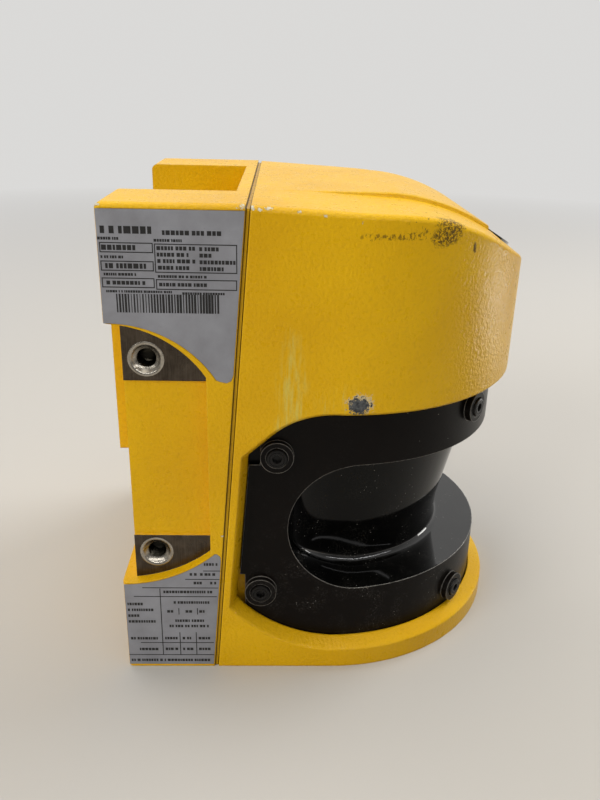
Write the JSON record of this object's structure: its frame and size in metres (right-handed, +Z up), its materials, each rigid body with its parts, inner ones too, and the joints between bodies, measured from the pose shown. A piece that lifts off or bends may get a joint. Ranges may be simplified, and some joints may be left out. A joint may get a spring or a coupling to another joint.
{
  "type": "safety laser scanner",
  "caption": "Safety laser scanner: cast yellow head with a wrap-round dark optics cover, and a cast connection module with side and rear fixing threads.",
  "frame": {"origin": "centre of the base, on the surface the scanner stands on", "axes": "+Z up, -Y towards the nose that looks ahead, +X across; the module's rear face is at +Y"},
  "size_m": [0.155, 0.16, 0.185],
  "materials": {
    "yellow_paint": "fine orange-peel powder coat, satin",
    "window_black": "polished, dark, lets infrared through",
    "seal_rubber": "matt",
    "screw_steel": "bright zinc",
    "screw_black": "black oxide",
    "display_pane": "smoked, polished",
    "board": "green solder mask",
    "digit": "satin",
    "lamp": "clear",
    "socket_metal": "nickel",
    "cap_plastic": "satin",
    "cast_alloy": "as machined",
    "lens_glass": "polished",
    "brass": "satin",
    "black_plastic": "moulded",
    "flat_cable": "satin",
    "lamination": "dark",
    "winding": "enamelled copper",
    "disc_metal": "etched",
    "mirror_coat": "front-silvered",
    "relay_white": "moulded",
    "capacitor": "sleeved",
    "bush_steel": "plain",
    "plate_film": "silver-grey foil"
  },
  "bodies": {
    "scanner": {"sensor_housing": "yellow_paint", "module_housing": "yellow_paint", "module_gasket": "seal_rubber", "module_screws": "screw_steel", "optics_cover": "window_black", "cover_gasket": "seal_rubber", "foot_gasket": "seal_rubber", "cover_screws": "screw_black", "display_window": "display_pane", "display_board": "board", "digit_display": "digit", "status_leds": "lamp", "config_connector": "socket_metal", "config_cap": "cap_plastic", "optics_frame": "cast_alloy", "frame_screws": "screw_steel", "receiver_lens": "lens_glass", "laser_holder": "cast_alloy", "laser_module": "brass", "laser_board": "board", "receiver_hood": "black_plastic", "receiver_board": "board", "photodiode": "brass", "processor_board": "board", "processor_chips": "black_plastic", "link_connector": "black_plastic", "flex_cable": "flat_cable", "motor_base": "cast_alloy", "motor_bearings": "screw_steel", "motor_stator": "lamination", "motor_coils": "winding", "encoder_board": "board", "encoder_fork": "black_plastic", "io_board": "board", "io_relays": "relay_white", "io_capacitors": "capacitor", "plug_socket": "black_plastic", "socket_pins": "brass", "thread_bushes": "bush_steel", "rating_plate": "plate_film", "data_plate": "plate_film"},
    "mirror_rotor": {"rotor_shaft": "screw_steel", "motor_rotor": "lamination", "encoder_disc": "disc_metal", "mirror_mount": "cast_alloy", "scan_mirror": "mirror_coat"}
  },
  "joints": [
    {"name": "mirror_spin", "type": "hinge", "parent": "scanner", "child": "mirror_rotor", "pos_m": [0, -0.013, 0], "axis": [0, 0, 1], "continuous": true}
  ]
}
